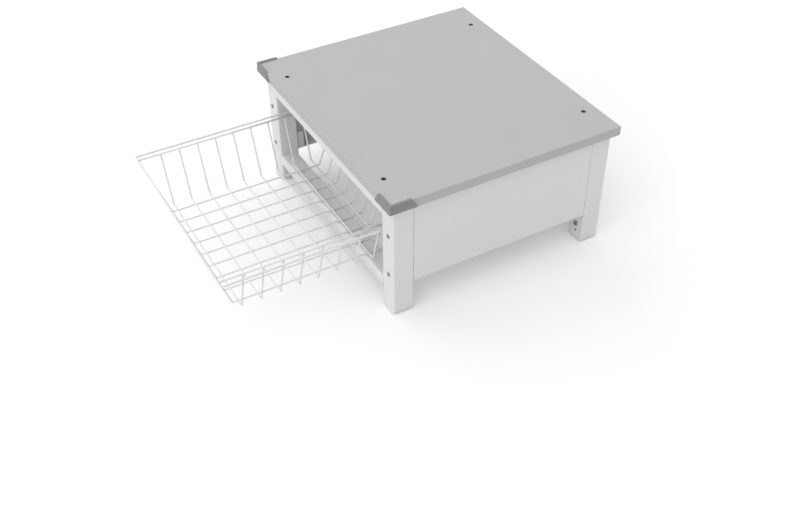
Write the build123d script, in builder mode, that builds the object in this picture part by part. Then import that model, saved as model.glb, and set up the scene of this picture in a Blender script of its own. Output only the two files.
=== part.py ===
"""Washing machine stand: a board on a folded-sheet frame, with a wire basket that slides out in front.

Millimetres. X runs along the front from left to right, Y towards the back and Z up.
The origin is on the floor, under the middle of the board. The basket is modelled pulled out.
"""

import os
from math import floor, hypot

from build123d import *

os.makedirs("parts", exist_ok=True)

# Board
plate_width = 600.0
plate_depth = 538.0
plate_thick = 20.0
stand_height = 290.0
plate_overhang = 12.0
plate_edge_radius = 0.7

# Sheet steel of the frame
sheet = 1.5
bend_inside = 2.0

# Legs and feet
leg_size = 45.0
leg_seam = 0.8
foot_height = 4.0
foot_width = 30.0
foot_edge = 1.0
foot_plug_height = 46.0
foot_plug_wall = 4.0
foot_plug_gap = 0.3
foot_screw_z = 40.0
foot_spare_hole_z = 22.0
foot_spare_hole_radius = 3.0

# Cross rails
rail_depth = 40.0
upper_rail_height = 40.0
upper_rail_return = 15.0
lower_rail_top = 71.0
lower_rail_lip = 22.0

# Side panels and the brackets that carry them
panel_seam = 1.0
panel_top_flange = 20.0
panel_flange_edge = 1.0
bracket_height = 42.0
bracket_reach = 17.0
leg_bolt_low_z = 96.0
leg_bolt_high_z = 193.5

# Slide rails
slide_setback = 7.0
slide_lip = 19.0
slide_end_gap = 0.5
slide_drop = 6.2
slide_play = 0.3
slide_headroom = 3.0
stop_tab_length = 8.0
stop_tab_height = 5.5
stop_tab_gap = 0.3

# Basket wires
runner_wire = 4.5
rim_wire = 4.5
mesh_wire = 3.5
mesh_pitch = 41.6
mesh_end_margin = 8.0
runner_side_gap = 2.5
runner_corner = 5.0
rim_step = 14.75
side_lean = 35.5
end_lean = 39.3
mesh_bend = 6.0
basket_floor_gap = 0.5
basket_rear_room = 33.55
basket_hold = 54.4
weld_depth = 0.5
weld_end_depth = 0.9
wire_sides = 6

# Corner stops
stop_arm = 60.5
stop_arm_slant = 13.0
stop_proud = 3.0
stop_front_lean = 1.2
stop_lift = 1.5
stop_rise = 3.2
stop_lip = 3.3
stop_lip_slant = 1.2
stop_edge_radius = 0.6
stop_tongue_length = 40.0
stop_tongue_depth = 9.0
stop_tongue_thick = 3.0
stop_kerf_gap = 0.1

# Fasteners
plate_screw_inset = 26.5
plate_screw_radius = 2.5
plate_screw_head_radius = 4.7
plate_screw_head_height = 3.5
plate_bore_radius = 5.2
plate_bore_depth = 8.0
plate_nut_flats = 8.0
plate_nut_height = 4.0
leg_bolt_radius = 3.0
leg_bolt_head_radius = 4.8
leg_bolt_head_height = 1.6
leg_nut_flats = 10.0
leg_nut_height = 5.0
foot_screw_radius = 2.5
foot_screw_head_radius = 5.8
foot_screw_head_height = 3.2
foot_screw_grip = 3.0
screw_tip = 3.0
round_sides = 14
shank_sides = 6
hole_clearance = 0.25
thread_clearance = 0.05

# Lines that several pieces share
sheet_middle = sheet / 2
bend_middle = bend_inside + sheet_middle
plate_under = stand_height - plate_thick
leg_outer_x = plate_width / 2 - plate_overhang
leg_inner_x = leg_outer_x - leg_size
frame_y = plate_depth / 2 - plate_overhang
leg_inner_y = frame_y - leg_size
rail_middle_y = frame_y - rail_depth / 2
plate_screw_x = leg_inner_x - plate_screw_inset
upper_rail_bottom = plate_under - upper_rail_height
bend_relief = bend_inside + hole_clearance
bracket_inner_x = leg_inner_x + slide_setback
leg_bolt_x = (bracket_inner_x + leg_outer_x - sheet) / 2
panel_bottom = leg_bolt_low_z - bracket_height / 2 - sheet
panel_flange_x = bracket_inner_x - panel_flange_edge
rim_z = leg_bolt_high_z - slide_drop
runner_x = leg_inner_x - runner_side_gap - runner_wire / 2
rim_x = runner_x - rim_step
slide_bottom_z = rim_z - runner_wire / 2 - slide_play - sheet
slide_top_z = rim_z + runner_wire / 2 - slide_play + slide_headroom + sheet
slide_lip_x = bracket_inner_x - slide_lip

# Basket pulled out to the stop tabs, and how far it slides in from there
basket_rear_y = -(leg_inner_y - slide_end_gap) + basket_hold
closed_front_y = -frame_y + runner_wire / 2
closed_rear_y = leg_inner_y - basket_rear_room
basket_length = closed_rear_y - closed_front_y
basket_front_y = basket_rear_y - basket_length
basket_travel = closed_rear_y - basket_rear_y
basket_middle_y = (basket_front_y + basket_rear_y) / 2
long_wire_z = lower_rail_top + basket_floor_gap + mesh_wire / 2
cross_wire_z = long_wire_z + mesh_wire - weld_depth
bottom_half_width = rim_x - side_lean
bottom_half_length = basket_length / 2 - end_lean


def folded_strip(*middle_line):
    """Section of a folded sheet, given the corners of the line in the middle of its thickness."""
    with BuildSketch() as strip:
        with BuildLine() as line:
            FilletPolyline(*middle_line, radius=bend_middle)
        trace(line.line, line_width=sheet)
    return strip.sketch


def save(piece, name):
    """Label a finished piece and write it under its name."""
    piece.part.label = name
    export_step(piece.part, f"parts/{name}.step")


# Top plate: a board with four counterbored screw holes and saw kerfs for the corner stops' tongues
plate_screw_xs = (-plate_screw_x, plate_screw_x)
plate_screw_spots = [(x, y) for x in plate_screw_xs for y in (-rail_middle_y, rail_middle_y)]
stop_tongue_z = plate_under + (plate_thick - stop_tongue_thick) / 2
stop_kerf_length = stop_tongue_length + stop_kerf_gap
stop_kerf_depth = stop_tongue_depth + stop_kerf_gap
with BuildPart() as top_plate:
    with BuildSketch(Plane.XY.offset(plate_under)):
        Rectangle(plate_width, plate_depth)
    extrude(amount=plate_thick)
    fillet(top_plate.edges().group_by(Axis.Z)[-1], radius=plate_edge_radius)
    with BuildSketch(Plane.XY.offset(stand_height)):
        with Locations(*plate_screw_spots):
            RegularPolygon(plate_bore_radius, round_sides)
    extrude(amount=-plate_bore_depth, mode=Mode.SUBTRACT)
    with BuildSketch(Plane.XY.offset(plate_under)):
        with Locations(*plate_screw_spots):
            RegularPolygon(plate_screw_radius + hole_clearance, shank_sides)
    extrude(amount=plate_thick, mode=Mode.SUBTRACT)
    with BuildSketch(Plane.XY.offset(stop_tongue_z - stop_kerf_gap)):
        with Locations((-plate_width / 2, -plate_depth / 2), (plate_width / 2, -plate_depth / 2)):
            Rectangle(2 * stop_kerf_length, 2 * stop_kerf_depth)
            Rectangle(2 * stop_kerf_depth, 2 * stop_kerf_length)
    extrude(amount=stop_tongue_thick + 2 * stop_kerf_gap, mode=Mode.SUBTRACT)
save(top_plate, "top_plate")

# Corner stop: an L with a lip on the board, a front face that leans back, slanted ends and a tongue
# that is pressed into the kerf in the board's edges
stop_outer_x = plate_width / 2 + stop_proud
stop_outer_y = -plate_depth / 2 - stop_proud
stop_bottom = plate_under + stop_lift
stop_top = stand_height + stop_rise
stop_end_plane_x = Plane(
    origin=(stop_outer_x - stop_arm, 0, stop_bottom),
    x_dir=(0, 1, 0),
    z_dir=(stop_top - stop_bottom, 0, -stop_arm_slant),
)
stop_end_plane_y = Plane(
    origin=(0, stop_outer_y + stop_arm, stop_bottom),
    x_dir=(1, 0, 0),
    z_dir=(0, stop_top - stop_bottom, stop_arm_slant),
)
stop_front_plane = Plane(
    origin=(0, stop_outer_y, stop_bottom),
    x_dir=(1, 0, 0),
    z_dir=(0, stop_top - stop_bottom, -stop_front_lean),
)
with BuildPart() as corner_stop_right:
    with BuildSketch(Plane.YZ.offset(stop_outer_x)):
        with BuildLine():
            Polyline(
                (stop_outer_y, stop_bottom),
                (stop_outer_y, stop_top),
                (-plate_depth / 2 + stop_lip - stop_lip_slant, stop_top),
                (-plate_depth / 2 + stop_lip, stand_height),
                (-plate_depth / 2, stand_height),
                (-plate_depth / 2, stop_bottom),
                close=True,
            )
        make_face()
    extrude(amount=-stop_arm)
    with BuildSketch(Plane.XZ.offset(-stop_outer_y)):
        with BuildLine():
            Polyline(
                (stop_outer_x, stop_bottom),
                (stop_outer_x, stop_top),
                (plate_width / 2 - stop_lip + stop_lip_slant, stop_top),
                (plate_width / 2 - stop_lip, stand_height),
                (plate_width / 2, stand_height),
                (plate_width / 2, stop_bottom),
                close=True,
            )
        make_face()
    extrude(amount=-stop_arm)
    split(bisect_by=stop_front_plane, keep=Keep.TOP)
    split(bisect_by=stop_end_plane_x, keep=Keep.TOP)
    split(bisect_by=stop_end_plane_y, keep=Keep.BOTTOM)
    stop_crest = corner_stop_right.edges().group_by(Axis.Z)[-1]
    fillet(stop_crest, radius=stop_edge_radius)
    with BuildSketch(Plane.XY.offset(stop_tongue_z)):
        with Locations((plate_width / 2, -plate_depth / 2)):
            Rectangle(stop_tongue_length, stop_tongue_depth, align=(Align.MAX, Align.MIN))
            Rectangle(stop_tongue_depth, stop_tongue_length, align=(Align.MAX, Align.MIN))
    extrude(amount=stop_tongue_thick)
save(corner_stop_right, "corner_stop_right")

with BuildPart() as corner_stop_left:
    mirror(corner_stop_right.part, about=Plane.YZ)
save(corner_stop_left, "corner_stop_left")

# Leg: one sheet folded into a box, closed by a seam at the outer edge of its inward wall
with BuildPart() as leg_front_right:
    with BuildSketch(Plane.XY.offset(foot_height)):
        add(
            folded_strip(
                (leg_outer_x - sheet - leg_seam, -leg_inner_y - sheet_middle),
                (leg_inner_x + sheet_middle, -leg_inner_y - sheet_middle),
                (leg_inner_x + sheet_middle, -frame_y + sheet_middle),
                (leg_outer_x - sheet_middle, -frame_y + sheet_middle),
                (leg_outer_x - sheet_middle, -leg_inner_y),
            )
        )
    extrude(amount=plate_under - foot_height)
    with BuildSketch(Plane.XZ.offset(frame_y)):
        with Locations((leg_bolt_x, leg_bolt_low_z), (leg_bolt_x, leg_bolt_high_z)):
            RegularPolygon(leg_bolt_radius + hole_clearance, shank_sides)
    extrude(amount=-leg_size, mode=Mode.SUBTRACT)
    with BuildSketch(Plane.XZ.offset(leg_inner_y)):
        with Locations((leg_bolt_x, foot_screw_z)):
            RegularPolygon(foot_screw_radius + hole_clearance, shank_sides)
        with Locations((leg_bolt_x, foot_spare_hole_z)):
            RegularPolygon(foot_spare_hole_radius, round_sides)
    extrude(amount=sheet, mode=Mode.SUBTRACT)

with BuildPart() as leg_front_left:
    mirror(leg_front_right.part, about=Plane.YZ)

with BuildPart() as leg_rear_right:
    mirror(leg_front_right.part, about=Plane.XZ)

with BuildPart() as leg_rear_left:
    mirror(leg_rear_right.part, about=Plane.YZ)

# Foot: a moulded glide under a hollow plug that fills the end of the leg
leg_middle_x = leg_outer_x - leg_size / 2
leg_middle_y = -frame_y + leg_size / 2
foot_plug_size = leg_size - 2 * sheet - 2 * foot_plug_gap
foot_hollow_size = foot_plug_size - 2 * foot_plug_wall
with BuildPart() as foot_front_right:
    with BuildSketch(Plane((leg_middle_x, leg_middle_y, 0))):
        Rectangle(foot_width, foot_width)
    extrude(amount=foot_height)
    chamfer(foot_front_right.edges().group_by(Axis.Z)[0], length=foot_edge)
    with BuildSketch(Plane((leg_middle_x, leg_middle_y, foot_height))):
        plug_outline = Rectangle(foot_plug_size, foot_plug_size)
        chamfer(plug_outline.vertices(), length=bend_inside)
    extrude(amount=foot_plug_height)
    with BuildSketch(Plane((leg_middle_x, leg_middle_y, foot_height + foot_plug_wall))):
        Rectangle(foot_hollow_size, foot_hollow_size)
    extrude(amount=foot_plug_height, mode=Mode.SUBTRACT)
    with BuildSketch(Plane.XZ.offset(leg_inner_y)):
        with Locations((leg_bolt_x, foot_screw_z)):
            RegularPolygon(foot_screw_radius + thread_clearance, shank_sides)
    extrude(amount=sheet + foot_plug_gap + foot_plug_wall, mode=Mode.SUBTRACT)

with BuildPart() as foot_front_left:
    mirror(foot_front_right.part, about=Plane.YZ)

with BuildPart() as foot_rear_right:
    mirror(foot_front_right.part, about=Plane.XZ)

with BuildPart() as foot_rear_left:
    mirror(foot_rear_right.part, about=Plane.YZ)

# Side panel: a sheet flush with the legs, folded in under the board and along its bottom edge
with BuildPart() as side_panel_right:
    with BuildSketch(Plane.XZ):
        add(
            folded_strip(
                (panel_flange_x, panel_bottom + sheet_middle),
                (leg_outer_x - sheet_middle, panel_bottom + sheet_middle),
                (leg_outer_x - sheet_middle, plate_under - sheet_middle),
                (leg_outer_x - panel_top_flange, plate_under - sheet_middle),
            )
        )
    extrude(amount=leg_inner_y - panel_seam, both=True)
save(side_panel_right, "side_panel_right")

with BuildPart() as side_panel_left:
    mirror(side_panel_right.part, about=Plane.YZ)
save(side_panel_left, "side_panel_left")

# Brackets: two U-shaped folds behind each leg, welded to the panel and bolted to the leg
with BuildPart() as brackets_front_right:
    for height in (leg_bolt_low_z, leg_bolt_high_z):
        with BuildSketch(Plane.XY.offset(height - bracket_height / 2)):
            add(
                folded_strip(
                    (bracket_inner_x + sheet_middle, -leg_inner_y + bracket_reach),
                    (bracket_inner_x + sheet_middle, -leg_inner_y + sheet_middle),
                    (leg_outer_x - sheet - sheet_middle, -leg_inner_y + sheet_middle),
                    (leg_outer_x - sheet - sheet_middle, -leg_inner_y + bracket_reach),
                )
            )
        extrude(amount=bracket_height)
    with BuildSketch(Plane.XZ.offset(leg_inner_y)):
        with Locations((leg_outer_x - sheet, panel_bottom + sheet)):
            Rectangle(bend_relief, bend_relief, align=(Align.MAX, Align.MIN))
    extrude(amount=-bracket_reach, mode=Mode.SUBTRACT)
    with BuildSketch(Plane.XZ.offset(leg_inner_y)):
        with Locations((leg_bolt_x, leg_bolt_low_z), (leg_bolt_x, leg_bolt_high_z)):
            RegularPolygon(leg_bolt_radius + hole_clearance, shank_sides)
    extrude(amount=-sheet, mode=Mode.SUBTRACT)

with BuildPart() as brackets_front_left:
    mirror(brackets_front_right.part, about=Plane.YZ)

with BuildPart() as brackets_rear_right:
    mirror(brackets_front_right.part, about=Plane.XZ)

with BuildPart() as brackets_rear_left:
    mirror(brackets_rear_right.part, about=Plane.YZ)

corner_pieces = {
    "leg": (leg_front_left, leg_front_right, leg_rear_left, leg_rear_right),
    "foot": (foot_front_left, foot_front_right, foot_rear_left, foot_rear_right),
    "brackets": (brackets_front_left, brackets_front_right, brackets_rear_left, brackets_rear_right),
}
for kind, pieces in corner_pieces.items():
    for piece, corner in zip(pieces, ("front_left", "front_right", "rear_left", "rear_right")):
        save(piece, f"{kind}_{corner}")

# Upper cross rail: a channel under the board, welded between the legs with its face flush with them
with BuildPart() as rail_front_upper:
    with BuildSketch(Plane.YZ):
        add(
            folded_strip(
                (-frame_y + rail_depth, plate_under - sheet_middle),
                (-frame_y + sheet_middle, plate_under - sheet_middle),
                (-frame_y + sheet_middle, upper_rail_bottom + sheet_middle),
                (-frame_y + upper_rail_return, upper_rail_bottom + sheet_middle),
            )
        )
    extrude(amount=leg_inner_x, both=True)
    with BuildSketch(Plane.XY.offset(plate_under)):
        with Locations(*[(x, -rail_middle_y) for x in plate_screw_xs]):
            RegularPolygon(plate_screw_radius + hole_clearance, shank_sides)
    extrude(amount=-sheet, mode=Mode.SUBTRACT)
save(rail_front_upper, "rail_front_upper")

with BuildPart() as rail_rear_upper:
    mirror(rail_front_upper.part, about=Plane.XZ)
save(rail_rear_upper, "rail_rear_upper")

# Lower cross rail: a channel open below, welded between the legs
with BuildPart() as rail_front_lower:
    with BuildSketch(Plane.YZ):
        add(
            folded_strip(
                (-frame_y + rail_depth - sheet_middle, lower_rail_top - lower_rail_lip),
                (-frame_y + rail_depth - sheet_middle, lower_rail_top - sheet_middle),
                (-frame_y + sheet_middle, lower_rail_top - sheet_middle),
                (-frame_y + sheet_middle, lower_rail_top - lower_rail_lip),
            )
        )
    extrude(amount=leg_inner_x, both=True)
save(rail_front_lower, "rail_front_lower")

with BuildPart() as rail_rear_lower:
    mirror(rail_front_lower.part, about=Plane.XZ)
save(rail_rear_lower, "rail_rear_lower")

# Slide rail: a channel open to the inside, welded to the upper brackets, with two end stop tabs bent
# up from its lower lip
front_tab_y = basket_rear_y - runner_wire / 2 - stop_tab_gap - stop_tab_length / 2
rear_tab_y = closed_rear_y + runner_wire / 2 + stop_tab_gap + stop_tab_length / 2
with BuildPart() as slide_rail_right:
    with BuildSketch(Plane.XZ):
        add(
            folded_strip(
                (slide_lip_x, slide_bottom_z + sheet_middle),
                (bracket_inner_x - sheet_middle, slide_bottom_z + sheet_middle),
                (bracket_inner_x - sheet_middle, slide_top_z - sheet_middle),
                (slide_lip_x, slide_top_z - sheet_middle),
            )
        )
    extrude(amount=leg_inner_y - slide_end_gap, both=True)
    with BuildSketch(Plane.YZ.offset(slide_lip_x)):
        with Locations((front_tab_y, slide_bottom_z), (rear_tab_y, slide_bottom_z)):
            Rectangle(stop_tab_length, sheet + stop_tab_height, align=(Align.CENTER, Align.MIN))
    extrude(amount=sheet)
save(slide_rail_right, "slide_rail_right")

with BuildPart() as slide_rail_left:
    mirror(slide_rail_right.part, about=Plane.YZ)
save(slide_rail_left, "slide_rail_left")


def pan_screw(radius, length, head_radius, head_height):
    """Screw with a flat head, standing on the origin with its shank along -Z."""
    with BuildPart() as screw:
        with BuildSketch():
            RegularPolygon(head_radius, round_sides)
        extrude(amount=head_height)
        with BuildSketch():
            RegularPolygon(radius, shank_sides)
        extrude(amount=-length)
    return screw.part


def hex_nut(bolt_radius, flats, height):
    """Plain hexagon nut, standing on the origin."""
    with BuildPart() as nut:
        with BuildSketch():
            RegularPolygon(flats / 2, 6, major_radius=False)
            RegularPolygon(bolt_radius + thread_clearance, shank_sides, mode=Mode.SUBTRACT)
        extrude(amount=height)
    return nut.part


# Leg bolts: from the leg's outer face through its inward wall and the bracket, with a nut behind
leg_bolt = pan_screw(
    leg_bolt_radius,
    leg_size + sheet + leg_nut_height + screw_tip,
    leg_bolt_head_radius,
    leg_bolt_head_height,
)
leg_nut = hex_nut(leg_bolt_radius, leg_nut_flats, leg_nut_height)
leg_bolt_spots = [(x, z) for x in (-leg_bolt_x, leg_bolt_x) for z in (leg_bolt_low_z, leg_bolt_high_z)]
with BuildPart() as leg_bolts:
    for x, z in leg_bolt_spots:
        front_spot = Location((x, -frame_y, z), (90, 0, 0))
        rear_spot = Location((x, frame_y, z), (-90, 0, 0))
        with Locations(front_spot, rear_spot):
            add(leg_bolt)
save(leg_bolts, "leg_bolts")

with BuildPart() as leg_nuts:
    for x, z in leg_bolt_spots:
        front_spot = Location((x, sheet - leg_inner_y, z), (-90, 0, 0))
        rear_spot = Location((x, leg_inner_y - sheet, z), (90, 0, 0))
        with Locations(front_spot, rear_spot):
            add(leg_nut)
save(leg_nuts, "leg_nuts")

# Foot screws: through the leg's inward wall into the plug of the foot
foot_screw = pan_screw(
    foot_screw_radius,
    sheet + foot_plug_gap + foot_screw_grip,
    foot_screw_head_radius,
    foot_screw_head_height,
)
with BuildPart() as foot_screws:
    for x in (-leg_bolt_x, leg_bolt_x):
        front_spot = Location((x, -leg_inner_y, foot_screw_z), (-90, 0, 0))
        rear_spot = Location((x, leg_inner_y, foot_screw_z), (90, 0, 0))
        with Locations(front_spot, rear_spot):
            add(foot_screw)
save(foot_screws, "foot_screws")

# Plate screws: sunk in the board's counterbores, through the upper rails, with a nut below
plate_seat_z = stand_height - plate_bore_depth
plate_nut_z = plate_under - sheet - plate_nut_height
plate_screw = pan_screw(
    plate_screw_radius,
    plate_thick - plate_bore_depth + sheet + plate_nut_height + screw_tip,
    plate_screw_head_radius,
    plate_screw_head_height,
)
plate_nut = hex_nut(plate_screw_radius, plate_nut_flats, plate_nut_height)
with BuildPart() as plate_screws:
    with Locations(*[(x, y, plate_seat_z) for x, y in plate_screw_spots]):
        add(plate_screw)
save(plate_screws, "plate_screws")

with BuildPart() as plate_nuts:
    with Locations(*[(x, y, plate_nut_z) for x, y in plate_screw_spots]):
        add(plate_nut)
save(plate_nuts, "plate_nuts")

# Basket runner frame: one closed wire loop whose sides run in the slide rails
with BuildPart() as basket_runner_frame:
    with BuildLine(Plane.XY.offset(rim_z)) as loop:
        FilletPolyline(
            (-runner_x, basket_front_y),
            (runner_x, basket_front_y),
            (runner_x, basket_rear_y),
            (-runner_x, basket_rear_y),
            radius=runner_corner,
            close=True,
        )
    with BuildSketch(Plane(origin=loop.line @ 0, z_dir=loop.line % 0)):
        RegularPolygon(runner_wire / 2, wire_sides)
    sweep()
save(basket_runner_frame, "basket_runner_frame")

# Side rims: straight wires inside the runners, welded between the loop's front and rear
rim_length = basket_length - runner_wire + 2 * weld_end_depth
with BuildPart() as basket_side_rims:
    with BuildSketch(Plane.XZ.offset(-basket_middle_y)):
        with Locations((-rim_x, rim_z), (rim_x, rim_z)):
            RegularPolygon(rim_wire / 2, wire_sides)
    extrude(amount=rim_length / 2, both=True)
save(basket_side_rims, "basket_side_rims")


def wall_top(foot_across, foot_height_z, top_across, hold):
    """End of a leaning wall wire that stops short of the middle of the rim wire by hold."""
    rise = rim_z - foot_height_z
    run = top_across - foot_across
    slope = hypot(rise, run)
    return (top_across - run * hold / slope, rim_z - rise * hold / slope)


# Cross wires: down one side, over the bottom and up the other side, welded to the side rims
cross_top_x, cross_top_z = wall_top(bottom_half_width, cross_wire_z, rim_x, rim_wire / 2 - weld_end_depth)
with BuildPart() as cross_wire:
    with BuildLine(Plane.XZ) as cross_line:
        FilletPolyline(
            (-cross_top_x, cross_top_z),
            (-bottom_half_width, cross_wire_z),
            (bottom_half_width, cross_wire_z),
            (cross_top_x, cross_top_z),
            radius=mesh_bend,
        )
    with BuildSketch(Plane(origin=cross_line.line @ 0, z_dir=cross_line.line % 0)):
        RegularPolygon(mesh_wire / 2, wire_sides)
    sweep()

cross_count = floor(2 * (bottom_half_length - mesh_end_margin) / mesh_pitch) + 1
with BuildPart() as basket_cross_wires:
    with Locations((0, basket_middle_y, 0)):
        with GridLocations(0, mesh_pitch, 1, cross_count):
            add(cross_wire.part)
save(basket_cross_wires, "basket_cross_wires")

# Long wires: down the front, along the bottom and up the back, welded to the runner frame
long_top_y, long_top_z = wall_top(
    bottom_half_length, long_wire_z, basket_length / 2, runner_wire / 2 - weld_end_depth
)
with BuildPart() as long_wire:
    with BuildLine(Plane.YZ) as long_line:
        FilletPolyline(
            (-long_top_y, long_top_z),
            (-bottom_half_length, long_wire_z),
            (bottom_half_length, long_wire_z),
            (long_top_y, long_top_z),
            radius=mesh_bend,
        )
    with BuildSketch(Plane(origin=long_line.line @ 0, z_dir=long_line.line % 0)):
        RegularPolygon(mesh_wire / 2, wire_sides)
    sweep()

long_count = floor(2 * (bottom_half_width - mesh_end_margin) / mesh_pitch) + 1
with BuildPart() as basket_long_wires:
    with Locations((0, basket_middle_y, 0)):
        with GridLocations(mesh_pitch, 0, long_count, 1):
            add(long_wire.part)
save(basket_long_wires, "basket_long_wires")

print(f"basket travel {basket_travel:.2f}, from {basket_front_y:.2f} to {basket_rear_y:.2f}")
print(f"cross wires {cross_count}, long wires {long_count}")
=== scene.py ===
"""Looks of a washing machine stand: coated sheet frame, grey board, plastic corner stops, wire basket.

Metres. X runs along the front from left to right, Y towards the back and Z up.
"""

import math

import bmesh
import bpy
from mathutils import Matrix, Vector


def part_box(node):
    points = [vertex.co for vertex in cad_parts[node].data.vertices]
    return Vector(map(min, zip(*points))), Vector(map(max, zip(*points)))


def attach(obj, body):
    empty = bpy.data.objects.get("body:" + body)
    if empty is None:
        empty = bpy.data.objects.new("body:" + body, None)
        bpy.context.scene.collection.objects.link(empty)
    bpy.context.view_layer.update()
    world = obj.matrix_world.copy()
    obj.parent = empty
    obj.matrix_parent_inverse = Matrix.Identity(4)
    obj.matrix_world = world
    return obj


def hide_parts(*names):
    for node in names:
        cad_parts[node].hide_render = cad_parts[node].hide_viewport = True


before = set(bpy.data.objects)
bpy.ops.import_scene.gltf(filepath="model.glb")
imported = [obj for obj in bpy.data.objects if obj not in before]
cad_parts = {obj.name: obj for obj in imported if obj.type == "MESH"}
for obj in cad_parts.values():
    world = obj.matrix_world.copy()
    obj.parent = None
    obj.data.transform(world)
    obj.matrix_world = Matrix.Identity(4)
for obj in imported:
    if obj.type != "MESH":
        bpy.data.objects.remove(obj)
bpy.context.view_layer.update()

# Legs
# Four posts, each folded from one sheet of mild steel into a box and closed by a seam on its inward
# wall. They are powder coated white, which leaves a faint orange peel.


class Value:
    """A socket in a node tree. An expression on values adds its Math nodes to the tree."""

    def __init__(self, tree, socket=None):
        self.tree = tree
        self.socket = socket

    def node(self, kind, settings, links, outlet=0):
        """Add a node: its settings first, then what its sockets hold or are linked to."""
        node = self.tree.nodes.new(kind)
        for name, setting in settings.items():
            setattr(node, name, setting)
        for name, link in links.items():
            if isinstance(link, Value):
                self.tree.links.new(link.socket, node.inputs[name])
            else:
                node.inputs[name].default_value = link
        return Value(self.tree, node.outputs[outlet])

    def feed(self, shader, name):
        """Link this value to a socket of a shader."""
        self.tree.links.new(self.socket, shader.inputs[name])

    def math(self, operation, first, second):
        """Add a Math node on two values or numbers."""
        return self.node("ShaderNodeMath", {"operation": operation}, {0: first, 1: second})

    def __add__(self, other):
        return self.math("ADD", self, other)

    __radd__ = __add__

    def __mul__(self, other):
        return self.math("MULTIPLY", self, other)

    __rmul__ = __mul__

    def __sub__(self, other):
        return self.math("SUBTRACT", self, other)

    def __rsub__(self, other):
        return self.math("SUBTRACT", other, self)

    def __abs__(self):
        return self.math("ABSOLUTE", self, 0)

    def __lt__(self, other):
        return self.math("LESS_THAN", self, other)

    def __gt__(self, other):
        return self.math("GREATER_THAN", self, other)


def new_finish(name):
    """A material, its Principled shader, and the piece's own coordinates to build a pattern on."""
    material = bpy.data.materials.new(name)
    material.use_nodes = True
    shader = material.node_tree.nodes["Principled BSDF"]
    place = Value(material.node_tree).node("ShaderNodeTexCoord", {}, {}, "Object")
    return material, shader, place


def mottle(place, size, detail=2.0):
    """Soft noise from 0 to 1, in patches about as large as size."""
    return place.node("ShaderNodeTexNoise", {}, {"Vector": place, "Scale": 1 / size, "Detail": detail})


def mix_colours(mask, first, second):
    """The first colour where mask is 0, the second where it is 1, and a blend between them."""
    return mask.node("ShaderNodeMix", {"data_type": "RGBA"}, {0: mask, 6: first, 7: second}, outlet=2)


def blend_tones(mask, dark, light):
    """A tone between dark and light, as mask goes from 0 to 1."""
    return mix_colours(mask, (*dark, 1), (*light, 1))


def relief(height, shader, strength, depth):
    """Raise the surface by a height pattern, by depth metres where the pattern is 1."""
    bump = height.node(
        "ShaderNodeBump", {}, {"Height": height, "Strength": strength, "Distance": depth}
    )
    bump.feed(shader, "Normal")


def powder_coat(name, dark, light):
    """Sprayed and baked coat: an even tone with an orange peel about a millimetre across."""
    coat, shader, place = new_finish(name)
    cloud = mottle(place, size=0.12)
    peel = mottle(place, size=0.0011)
    grit = mottle(place, size=0.0003, detail=1.0)
    blend_tones(cloud, dark, light).feed(shader, "Base Color")
    (0.36 + 0.10 * cloud + 0.10 * peel).feed(shader, "Roughness")
    relief(peel + 0.3 * grit, shader, strength=0.8, depth=0.00008)
    shader.inputs["Specular IOR Level"].default_value = 0.45
    return coat


def finish_nodes(material, *names):
    """Give CAD nodes a material."""
    for name in names:
        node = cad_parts[name]
        node.data.materials.clear()
        node.data.materials.append(material)


stand_corners = ["front_left", "front_right", "rear_left", "rear_right"]
white_coat = powder_coat("white_powder_coat", dark=(0.76, 0.76, 0.765), light=(0.80, 0.80, 0.80))
finish_nodes(white_coat, *[f"leg_{corner}" for corner in stand_corners])

# Feet
# A moulded black nylon glide under each leg, in one piece with a hollow plug that is pushed up into
# the end of the leg. The mould was spark eroded, so the plastic has a fine even grain.


def moulded_plastic(name, dark, light, roughness, grain):
    """Injection moulded plastic with a spark-eroded grain and a slightly uneven sheen."""
    plastic, shader, place = new_finish(name)
    cloud = mottle(place, size=0.03)
    pits = place.node(
        "ShaderNodeTexVoronoi", {"feature": "SMOOTH_F1"}, {"Vector": place, "Scale": 1 / grain}
    )
    blend_tones(cloud, dark, light).feed(shader, "Base Color")
    (roughness + 0.12 * cloud + 0.08 * pits).feed(shader, "Roughness")
    relief(pits, shader, strength=0.9, depth=0.00015)
    return plastic


glide_black = moulded_plastic(
    "glide_black", dark=(0.018, 0.018, 0.019), light=(0.03, 0.03, 0.031), roughness=0.5, grain=0.0008
)
finish_nodes(glide_black, *[f"foot_{corner}" for corner in stand_corners])

# Foot screws
# One pan-head screw through each leg's inward wall into the plug of the foot. Zinc plated steel with
# a hexagon socket, turned heads and a dull grey-blue tone.


def plated_steel(name):
    """Zinc plated steel: fine scratches and a cloudy passivated tone."""
    steel, shader, place = new_finish(name)
    cloud = mottle(place, size=0.004)
    scratch = mottle(place, size=0.0004, detail=4.0)
    blend_tones(cloud, dark=(0.20, 0.20, 0.21), light=(0.34, 0.34, 0.35)).feed(shader, "Base Color")
    (0.36 + 0.14 * cloud + 0.12 * scratch).feed(shader, "Roughness")
    relief(scratch, shader, strength=0.3, depth=0.00004)
    shader.inputs["Metallic"].default_value = 0.9
    return steel


def split_geometry(geometry):
    """The vertices and the edges in what a bmesh operator returns."""
    verts = [g for g in geometry if isinstance(g, bmesh.types.BMVert)]
    edges = [g for g in geometry if isinstance(g, bmesh.types.BMEdge)]
    return verts, edges


def new_circle(bm, sides, radius, height, capped=False):
    """A circle about the Z axis at a height, as its edges."""
    verts = bmesh.ops.create_circle(bm, cap_ends=capped, segments=sides, radius=radius)["verts"]
    bmesh.ops.translate(bm, vec=(0, 0, height), verts=verts)
    return list({e for v in verts for e in v.link_edges})


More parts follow.
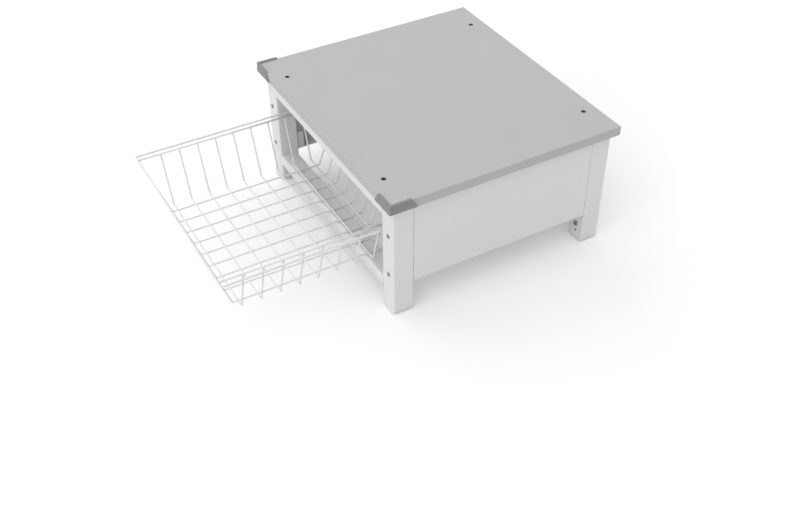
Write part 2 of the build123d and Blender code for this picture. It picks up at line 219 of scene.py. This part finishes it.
def next_ring(bm, edges, radius_scale, rise):
    """Extrude a ring of edges along Z by rise and scale it about the Z axis. Returns the new ring."""
    verts, edges = split_geometry(bmesh.ops.extrude_edge_only(bm, edges=edges)["geom"])
    bmesh.ops.scale(bm, vec=(radius_scale, radius_scale, 1), verts=verts)
    bmesh.ops.translate(bm, vec=(0, 0, rise), verts=verts)
    return edges


def socket_screw(bm, seating, head_radius, head_height, shank_radius, length):
    """Pan head with a hexagon socket, standing on its seat at seating with the shank along -Z."""
    head_sides = 28
    socket_sides = 6
    socket_radius = 0.5 * head_radius
    socket_depth = 0.6 * head_height
    crown_radius = 0.72 * head_radius
    shoulder_radius = 0.92 * head_radius
    shoulder_drop = 0.22 * head_height
    rim_drop = 0.33 * head_height
    wall_drop = 0.45 * head_height
    point_length = 0.3 * shank_radius
    point_scale = 0.75
    old = set(bm.verts)
    socket = new_circle(bm, socket_sides, socket_radius, head_height - socket_depth, capped=True)
    mouth = next_ring(bm, socket, 1, socket_depth)
    crown = new_circle(bm, head_sides, crown_radius, head_height)
    bmesh.ops.bridge_loops(bm, edges=mouth + crown)
    shoulder = next_ring(bm, crown, shoulder_radius / crown_radius, -shoulder_drop)
    rim = next_ring(bm, shoulder, head_radius / shoulder_radius, -rim_drop)
    seat = next_ring(bm, rim, 1, -wall_drop)
    neck = next_ring(bm, seat, shank_radius / head_radius, 0)
    tip = next_ring(bm, neck, 1, point_length - length)
    end = next_ring(bm, tip, point_scale, -point_length)
    bmesh.ops.edgeloop_fill(bm, edges=end)
    bmesh.ops.transform(bm, matrix=seating, verts=[v for v in bm.verts if v not in old])


def add_piece(name, bm, material, body, slot, *nodes):
    """Close a bmesh into a piece that rides on a body and stands for CAD nodes."""
    bmesh.ops.recalc_face_normals(bm, faces=bm.faces)
    mesh = bpy.data.meshes.new(name)
    bm.to_mesh(mesh)
    bm.free()
    mesh.materials.append(material)
    piece = bpy.data.objects.new(name, mesh)
    bpy.context.scene.collection.objects.link(piece)
    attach(piece, body)
    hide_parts(*nodes)
    return piece


def facing(spot, direction):
    """Place with its Z axis along direction, standing on spot."""
    return Matrix.Translation(spot) @ Vector(direction).to_track_quat("Z", "Y").to_matrix().to_4x4()


zinc = plated_steel("zinc_plated_steel")
foot_screw_head = 0.0058
foot_screw_height = 0.0032
foot_screw_shank = 0.0025
low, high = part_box("foot_screws")
leg_wall_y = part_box("leg_front_right")[1].y
foot_screw_length = high.y + leg_wall_y
foot_screws = bmesh.new()
for x in (low.x + foot_screw_head, high.x - foot_screw_head):
    for back in (-1, 1):
        socket_screw(
            foot_screws,
            facing((x, -leg_wall_y * back, (low.z + high.z) / 2), (0, -back, 0)),
            foot_screw_head,
            foot_screw_height,
            foot_screw_shank,
            foot_screw_length,
        )
add_piece("foot_screw_set", foot_screws, zinc, "stand", "fastener_steel", "foot_screws")

# Cross rails
# Folded channels welded between the legs, two at the front and two at the back. They are coated
# together with the legs as one welded frame.
finish_nodes(white_coat, "rail_front_upper", "rail_front_lower", "rail_rear_upper", "rail_rear_lower")

# Side panels, brackets and slide rails
# Folded sheets that join the front frame to the rear one: the brackets are welded inside each panel
# and the slide rail to the upper brackets. Same white coat as the frame.
for side in ("left", "right"):
    finish_nodes(white_coat, f"side_panel_{side}", f"slide_rail_{side}")
finish_nodes(white_coat, *[f"brackets_{corner}" for corner in stand_corners])

# Leg bolts and nuts
# Two bolts through each leg into the brackets behind it, with hexagon nuts. Zinc plated steel, pan
# heads with a hexagon socket.
leg_bolt_head = 0.0048
leg_bolt_height = 0.0016
leg_bolt_shank = 0.003
bolt_past_nut_seat = 0.008
low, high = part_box("leg_bolts")
leg_face_y = high.y - leg_bolt_height
bolt_tip_y = -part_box("leg_nuts")[0].y - bolt_past_nut_seat
leg_bolts = bmesh.new()
for x in (low.x + leg_bolt_head, high.x - leg_bolt_head):
    for z in (low.z + leg_bolt_head, high.z - leg_bolt_head):
        for back in (-1, 1):
            socket_screw(
                leg_bolts,
                facing((x, leg_face_y * back, z), (0, back, 0)),
                leg_bolt_head,
                leg_bolt_height,
                leg_bolt_shank,
                leg_face_y - bolt_tip_y,
            )
add_piece("leg_bolt_set", leg_bolts, zinc, "stand", "fastener_steel", "leg_bolts")
finish_nodes(zinc, "leg_nuts")

# Board
# Chipboard faced with a matt grey melamine paper and edged with a thin band of the same grey. It is
# screwed down on the upper cross rails, through four bores whose walls show the raw board, painted
# far darker than it is, as painted shade in the bores.
plate_screw_head = 0.0047
screw_low, screw_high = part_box("plate_screws")
bore_x = screw_high.x - plate_screw_head
bore_y = screw_high.y - plate_screw_head
bore_reach = 0.0058
paper_depth = 0.0003
board_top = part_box("top_plate")[1].z
fleck_low, fleck_high = 0.36, 0.64
board, shader, place = new_finish("grey_melamine")
fleck = place.node(
    "ShaderNodeMapRange",
    {},
    {"Value": mottle(place, size=0.0009, detail=3.0), "From Min": fleck_low, "From Max": fleck_high},
)
cloud = mottle(place, size=0.15)
pores = mottle(place, size=0.0004, detail=1.0)
paper_grey = blend_tones(0.6 * fleck + 0.4 * cloud, dark=(0.46, 0.46, 0.463), light=(0.53, 0.53, 0.53))
# Bore walls: the raw board's tone, painted far darker than it is as painted shade in the recess.
raw_board_and_painted_shade = blend_tones(fleck, dark=(0.115, 0.11, 0.103), light=(0.18, 0.172, 0.162))
along_x, along_y, along_z = [
    place.node("ShaderNodeSeparateXYZ", {}, {0: place}, axis) for axis in ("X", "Y", "Z")
]
off_x = abs(along_x) - bore_x
off_y = abs(along_y) - bore_y
in_bore = off_x * off_x + off_y * off_y < bore_reach ** 2
under_paper = along_z < board_top - paper_depth
mix_colours(in_bore * under_paper, paper_grey, raw_board_and_painted_shade).feed(shader, "Base Color")
(0.52 + 0.10 * cloud + 0.10 * fleck).feed(shader, "Roughness")
relief(pores, shader, strength=0.3, depth=0.00005)
shader.inputs["Specular IOR Level"].default_value = 0.35
finish_nodes(board, "top_plate")

# Plate screws and nuts
# Four screws sunk in the board's bores, which hold it down on the upper cross rails, each with a
# hexagon nut under the rail. Zinc plated steel like the other fasteners.
plate_screw_height = 0.0035
plate_screw_shank = 0.0025
seat_z = screw_high.z - plate_screw_height
plate_screws = bmesh.new()
for x in (-bore_x, bore_x):
    for y in (-bore_y, bore_y):
        socket_screw(
            plate_screws,
            facing((x, y, seat_z), (0, 0, 1)),
            plate_screw_head,
            plate_screw_height,
            plate_screw_shank,
            seat_z - screw_low.z,
        )
add_piece("plate_screw_set", plate_screws, zinc, "stand", "fastener_steel", "plate_screws")
finish_nodes(zinc, "plate_nuts")

# Corner stops
# Moulded dark grey plastic angles on the board's front corners, with a tongue pressed into a kerf in
# the board's edge. They keep the machine from walking off.
stop_grey = moulded_plastic(
    "stop_grey", dark=(0.225, 0.225, 0.228), light=(0.27, 0.27, 0.272), roughness=0.5, grain=0.0011
)
finish_nodes(stop_grey, "corner_stop_left", "corner_stop_right")

# Basket frame
# A closed loop of drawn steel wire that runs in the slide rails, with a straight rim wire inside each
# long side. Resistance welded, then dipped in a white coat.


def coated_wire(name):
    """Dipped coat on wire: smooth, a little uneven in thickness and in sheen."""
    coat, shader, place = new_finish(name)
    run = mottle(place, size=0.02)
    ripple = mottle(place, size=0.002)
    blend_tones(run, dark=(0.76, 0.76, 0.765), light=(0.82, 0.82, 0.82)).feed(shader, "Base Color")
    (0.30 + 0.15 * run).feed(shader, "Roughness")
    relief(ripple, shader, strength=0.3, depth=0.0001)
    return coat


def wire_along(bm, route, radius, bend=0.0):
    """A round wire through the points of a route, bent at each inner one.

    The bend is a radius to the middle of the wire. The wire's ends are capped, unless it is a loop
    that ends where it starts.
    """
    wire_sides = 14
    bend_steps = 8
    seam_reach = radius / 50
    closed = route[0] == route[-1]
    heading = (route[1] - route[0]).normalized()
    ring = bmesh.ops.create_circle(bm, segments=wire_sides, radius=radius)["verts"]
    bmesh.ops.transform(bm, matrix=facing(route[0], heading), verts=ring)
    edges = list({e for v in ring for e in v.link_edges})
    if not closed:
        bmesh.ops.edgeloop_fill(bm, edges=edges)
    here = route[0]
    for before, corner, after in zip(route, route[1:], route[2:]):
        heading = (corner - before).normalized()
        leaving = (after - corner).normalized()
        turn = heading.angle(leaving)
        start = corner - heading * bend * math.tan(turn / 2)
        ring, edges = split_geometry(bmesh.ops.extrude_edge_only(bm, edges=edges)["geom"])
        bmesh.ops.translate(bm, vec=start - here, verts=ring)
        hinge = heading.cross(leaving).normalized()
        centre = start + hinge.cross(heading) * bend
        swept = bmesh.ops.spin(
            bm, geom=ring + edges, cent=centre, axis=hinge, angle=turn, steps=bend_steps, use_merge=False
        )
        ring, edges = split_geometry(swept["geom_last"])
        here = corner + leaving * bend * math.tan(turn / 2)
    ring, edges = split_geometry(bmesh.ops.extrude_edge_only(bm, edges=edges)["geom"])
    bmesh.ops.translate(bm, vec=route[-1] - here, verts=ring)
    if closed:
        bmesh.ops.remove_doubles(bm, verts=bm.verts, dist=seam_reach)
    else:
        bmesh.ops.edgeloop_fill(bm, edges=edges)


wire_white = coated_wire("white_wire_coat")


def add_wires(name, bm, node):
    """Close a bmesh of wires into a smooth white piece of the basket that stands for a CAD node."""
    piece = add_piece(name, bm, wire_white, "basket", "wire_coat", node)
    for face in piece.data.polygons:
        face.use_smooth = True


runner_radius = 0.00225
runner_corner = 0.005
low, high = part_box("basket_runner_frame")
runner_x = high.x - runner_radius
front_y = low.y + runner_radius
rear_y = high.y - runner_radius
rim_z = (low.z + high.z) / 2
loop_route = [
    (0, front_y),
    (runner_x, front_y),
    (runner_x, rear_y),
    (-runner_x, rear_y),
    (-runner_x, front_y),
    (0, front_y),
]
loop = bmesh.new()
wire_along(loop, [Vector((x, y, rim_z)) for x, y in loop_route], runner_radius, runner_corner)
add_wires("runner_loop", loop, "basket_runner_frame")

rim_radius = 0.00225
low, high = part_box("basket_side_rims")
rim_x = high.x - rim_radius
rims = bmesh.new()
for x in (-rim_x, rim_x):
    wire_along(rims, [Vector((x, y, rim_z)) for y in (low.y, high.y)], rim_radius)
add_wires("side_rims", rims, "basket_side_rims")

# Basket mesh
# Thinner wires bent to shallow troughs: cross wires from rim to rim and long wires from front to
# back, welded to each other, to the rims and to the loop. Dipped together with the basket frame.
mesh_radius = 0.00175
mesh_bend = 0.006
mesh_pitch = 0.0416
side_lean = 0.0355
end_lean = 0.0393
weld_depth = 0.0009


def trough_wire(bm, feet, edges, edge_radius):
    """A mesh wire from one edge wire down to its feet and up to the other edge, welded into both."""
    hold = edge_radius - weld_depth
    tops = [edge + (foot - edge).normalized() * hold for foot, edge in zip(feet, edges)]
    wire_along(bm, [tops[0], *feet, tops[1]], mesh_radius, mesh_bend)


def wire_places(low_end, high_end, middle):
    """Places of the mesh wires, a pitch apart about the middle, between two ends of their box."""
    count = round((high_end - low_end - 2 * mesh_radius) / mesh_pitch) + 1
    return [middle + (number - (count - 1) / 2) * mesh_pitch for number in range(count)]


low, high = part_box("basket_cross_wires")
cross_z = low.z + mesh_radius
cross_mesh = bmesh.new()
for y in wire_places(low.y, high.y, (front_y + rear_y) / 2):
    feet = [Vector((x, y, cross_z)) for x in (side_lean - rim_x, rim_x - side_lean)]
    trough_wire(cross_mesh, feet, [Vector((x, y, rim_z)) for x in (-rim_x, rim_x)], rim_radius)
add_wires("cross_mesh", cross_mesh, "basket_cross_wires")

low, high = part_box("basket_long_wires")
long_z = low.z + mesh_radius
long_mesh = bmesh.new()
for x in wire_places(low.x, high.x, 0):
    feet = [Vector((x, y, long_z)) for y in (front_y + end_lean, rear_y - end_lean)]
    trough_wire(long_mesh, feet, [Vector((x, y, rim_z)) for y in (front_y, rear_y)], runner_radius)
add_wires("long_mesh", long_mesh, "basket_long_wires")

# Floor
# A plain white studio floor that runs out of the picture. Camera and mirror rays see it lifted to
# white, and it keeps the stand's soft shadow.


def looked_at(tree):
    """1 where it is seen, by the camera, in a glossy finish or through glass, and 0 for other light."""
    camera_ray, glossy_ray, glass_ray = [
        Value(tree).node("ShaderNodeLightPath", {}, {}, f"Is {kind} Ray")
        for kind in ("Camera", "Glossy", "Transmission")
    ]
    return camera_ray + glossy_ray + glass_ray


floor_size = 30.0
paper_white = 0.85
lift_level = 0.20
floor_white = bpy.data.materials.new("floor_white")
floor_white.use_nodes = True
floor_tree = floor_white.node_tree
floor_tree.nodes.remove(floor_tree.nodes["Principled BSDF"])
lift_strength = lift_level * looked_at(floor_tree)
lift = lift_strength.node("ShaderNodeEmission", {}, {"Color": (1, 1, 1, 1), "Strength": lift_strength})
paper = lift.node("ShaderNodeBsdfDiffuse", {}, {"Color": (paper_white, paper_white, paper_white, 1)})
lit_paper = lift.node("ShaderNodeAddShader", {}, {0: paper, 1: lift})
lit_paper.feed(floor_tree.nodes["Material Output"], "Surface")
ground = bmesh.new()
bmesh.ops.create_grid(ground, x_segments=1, y_segments=1, size=floor_size / 2)
floor_mesh = bpy.data.meshes.new("floor")
ground.to_mesh(floor_mesh)
ground.free()
floor_mesh.materials.append(floor_white)
floor = bpy.data.objects.new("floor", floor_mesh)
bpy.context.scene.collection.objects.link(floor)

# Light
# Soft studio light: an even white surround, with broad soft lights from the left, from the front and
# from above.
surround_level = 0.48
world = bpy.data.worlds.new("studio")
world.use_nodes = True
bpy.context.scene.world = world
sky = world.node_tree.nodes["Background"]
sky.inputs["Color"].default_value = (1, 1, 1, 1)
(surround_level + (1 - surround_level) * looked_at(world.node_tree)).feed(sky, "Strength")


def soft_sun(name, direction, spread, strength):
    """Even light from far away in a direction, softened by its spread in degrees."""
    lamp_height = 3.0
    lamp = bpy.data.lights.new(name, "SUN")
    lamp.angle = math.radians(spread)
    lamp.energy = strength
    holder = bpy.data.objects.new(name, lamp)
    holder.matrix_world = facing((0, 0, lamp_height), direction)
    bpy.context.scene.collection.objects.link(holder)


soft_sun("left_light", direction=(-0.80, -0.20, 0.57), spread=60, strength=0.81)
soft_sun("front_light", direction=(0.36, -0.78, 0.50), spread=60, strength=0.93)
soft_sun("top_light", direction=(0, 0, 1), spread=80, strength=0.68)

# Camera
# Stands in front on the right and looks down on the stand, from the photograph's viewpoint. The film
# width is in millimetres, and the focal length in pixels of the picture.
picture_width = 800
focal_pixels = 1046.4
film_width = 36.0
view_reach = 100.0
camera_spot = Vector((1.6366, -1.0065, 1.4703))
azimuth = math.radians(60.462)
elevation = math.radians(40.816)
roll = math.radians(-0.202)
backward = Vector(
    (
        math.sin(azimuth) * math.cos(elevation),
        -math.cos(azimuth) * math.cos(elevation),
        math.sin(elevation),
    )
)
level = Vector((math.cos(azimuth), math.sin(azimuth), 0))
right = level * math.cos(roll) + backward.cross(level) * math.sin(roll)
lens = bpy.data.cameras.new("camera")
lens.sensor_width = film_width
lens.lens = focal_pixels / picture_width * film_width
lens.clip_end = view_reach
camera = bpy.data.objects.new("camera", lens)
camera_turn = Matrix((right, backward.cross(right), backward)).transposed().to_4x4()
camera.matrix_world = Matrix.Translation(camera_spot) @ camera_turn
bpy.context.scene.collection.objects.link(camera)
bpy.context.scene.camera = camera

bpy.context.scene.view_settings.view_transform = "Standard"
